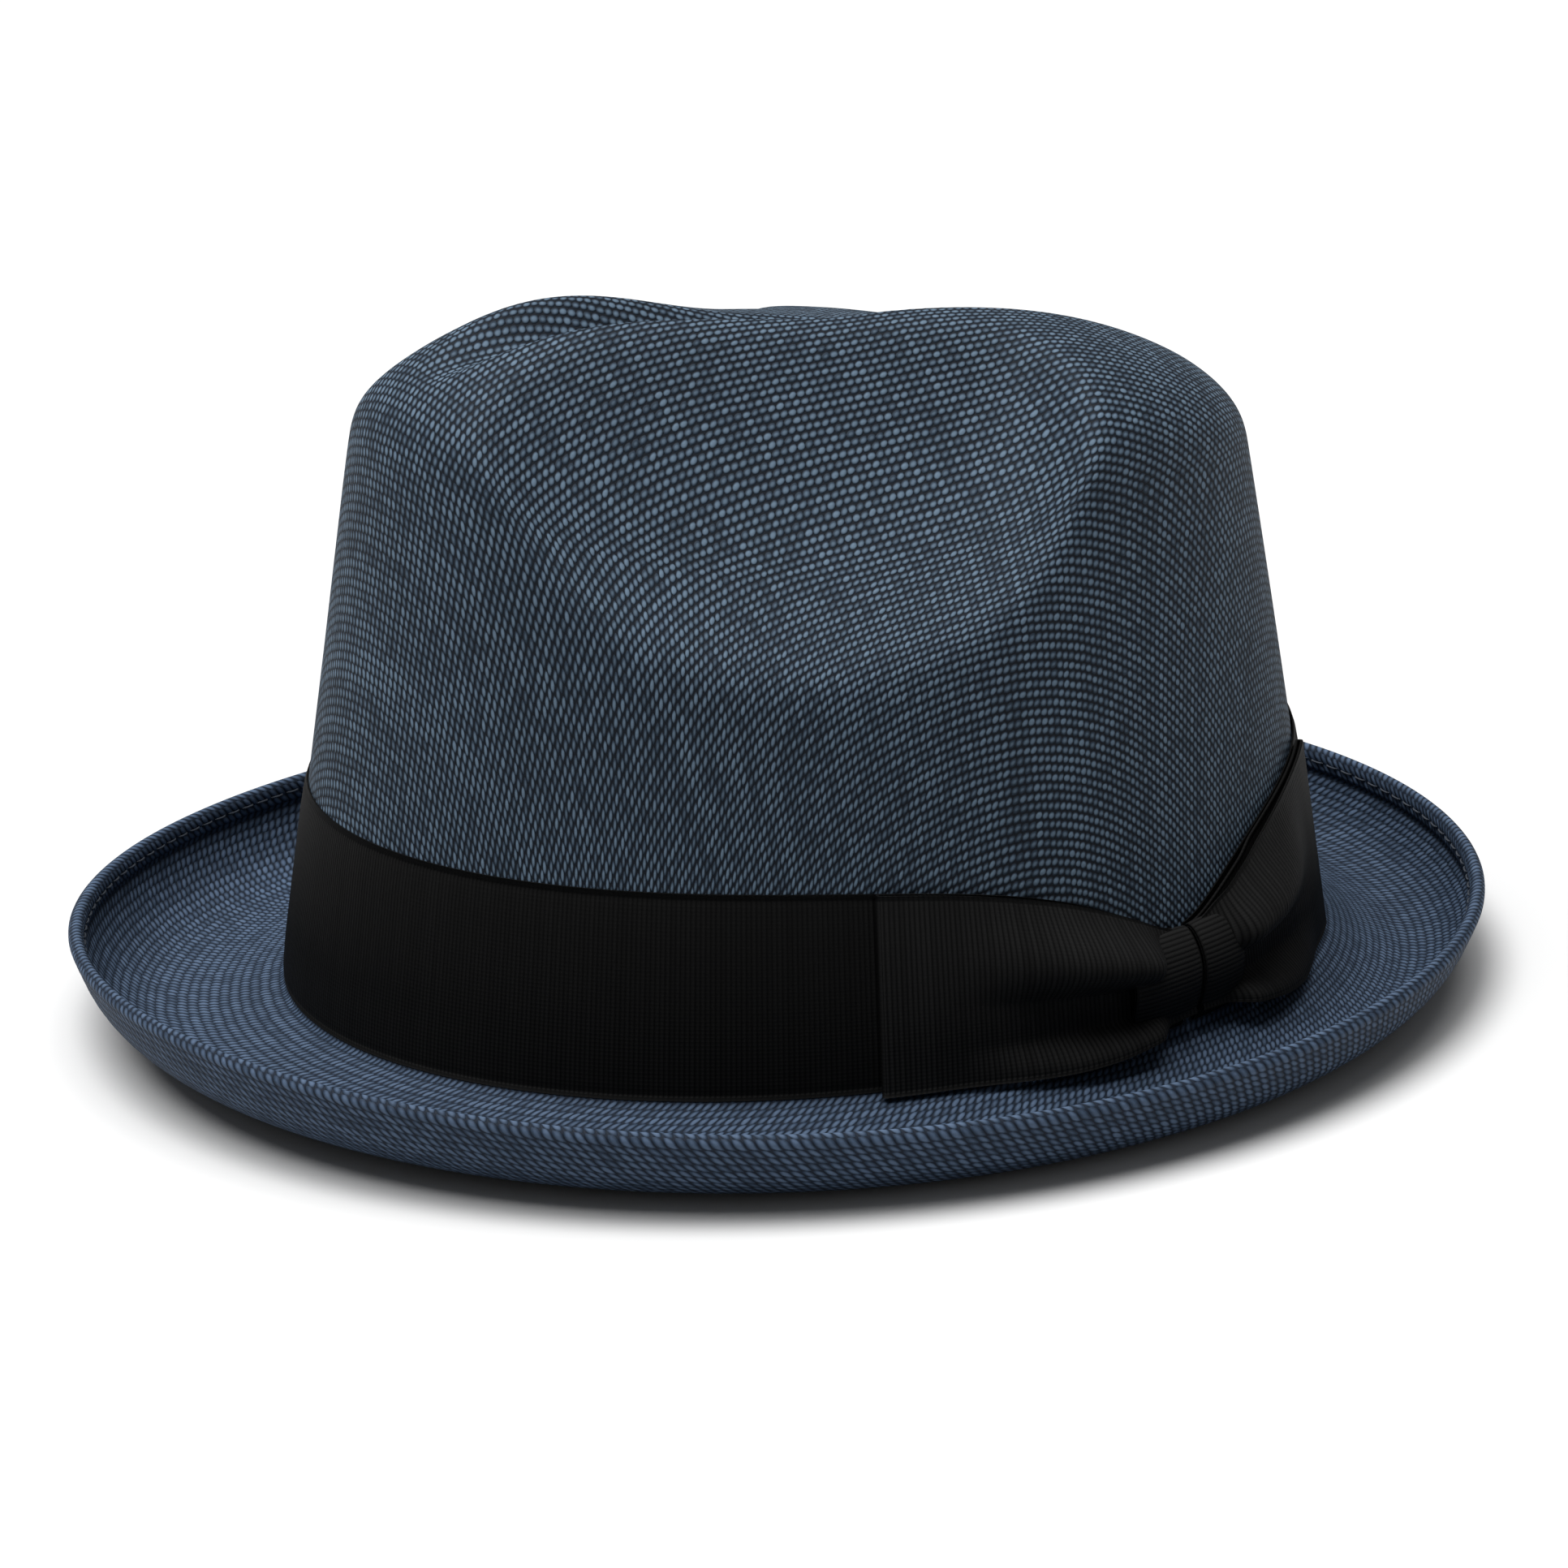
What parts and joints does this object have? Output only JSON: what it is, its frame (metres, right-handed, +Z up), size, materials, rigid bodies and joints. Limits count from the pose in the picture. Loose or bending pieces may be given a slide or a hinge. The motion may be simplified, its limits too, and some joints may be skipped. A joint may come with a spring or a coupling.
{
  "type": "fedora hat",
  "caption": "Short-brimmed fedora of slate-blue woven paper straw with a pinched, creased crown, curled brim edge, black ribbon band and flat side bow, sweatband inside.",
  "frame": {"origin": "centre of the hat's outline on the plane it stands on", "axes": "+X wearer's left (the bow side), +Y towards the back of the hat, +Z up"},
  "size_m": [0.2438, 0.2784, 0.1379],
  "materials": {
    "straw": "woven",
    "grosgrain": "ribbed",
    "sweatband_cloth": "matte",
    "blue_thread": "matte",
    "black_thread": "matte",
    "edge_wire": "drawn",
    "reed_plastic": "matte"
  },
  "bodies": {
    "root": {"straw_body": "straw", "brim_wire": "edge_wire", "hem_stitching": "blue_thread", "sweatband": "sweatband_cloth", "sweatband_reed": "reed_plastic", "sweatband_stitching": "black_thread", "sweatband_seam_tape": "sweatband_cloth", "ribbon_band": "grosgrain", "bow_front_wing": "grosgrain", "bow_rear_wing": "grosgrain", "bow_knot_front_turn": "grosgrain", "bow_knot_rear_turn": "grosgrain"}
  },
  "joints": []
}
